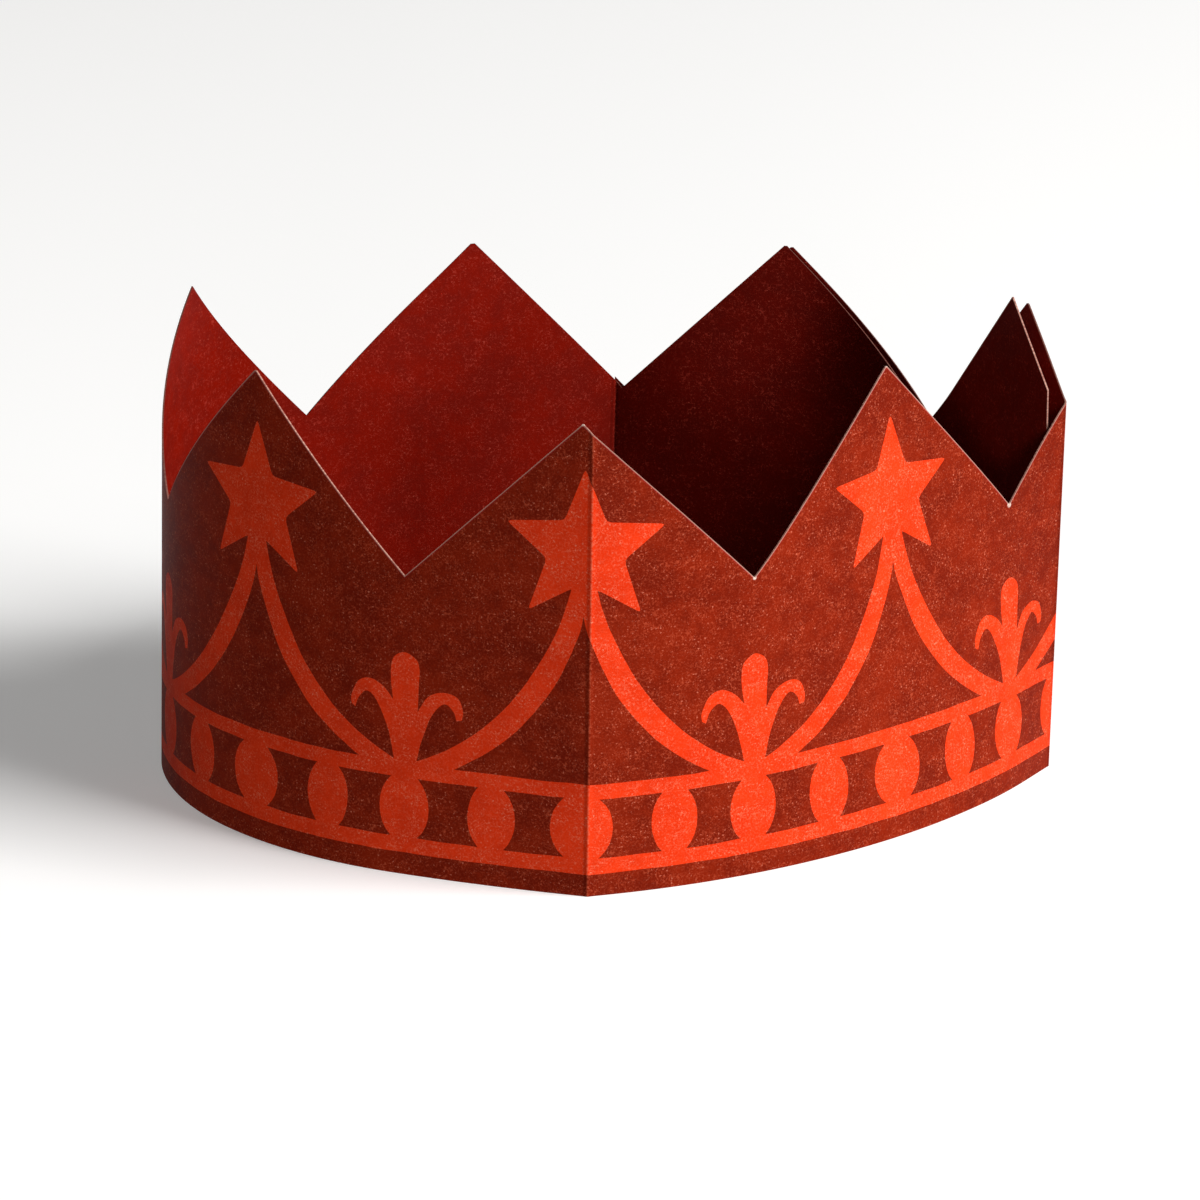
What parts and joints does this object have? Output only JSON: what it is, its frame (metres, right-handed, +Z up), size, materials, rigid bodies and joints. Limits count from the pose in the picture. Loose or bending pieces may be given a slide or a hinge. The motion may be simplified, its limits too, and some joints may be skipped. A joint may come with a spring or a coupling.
{
  "type": "paper crown",
  "caption": "Open ring crown of one printed card strip, cut to a zigzag of points along its top edge, folded into panels and lapped at one side.",
  "frame": {"origin": "middle of the ring's bounding box, on the plane that the straight bottom edge stands on", "axes": "+Z up, -Y towards the front fold, +X towards the folded corner where the lap starts"},
  "size_m": [0.2054, 0.1676, 0.1066],
  "materials": {
    "printed_card": "matt printed card, deep red ground with orange-red print outside, plain dark red inside"
  },
  "bodies": {
    "root": {"crown_band": "printed_card"}
  },
  "joints": []
}
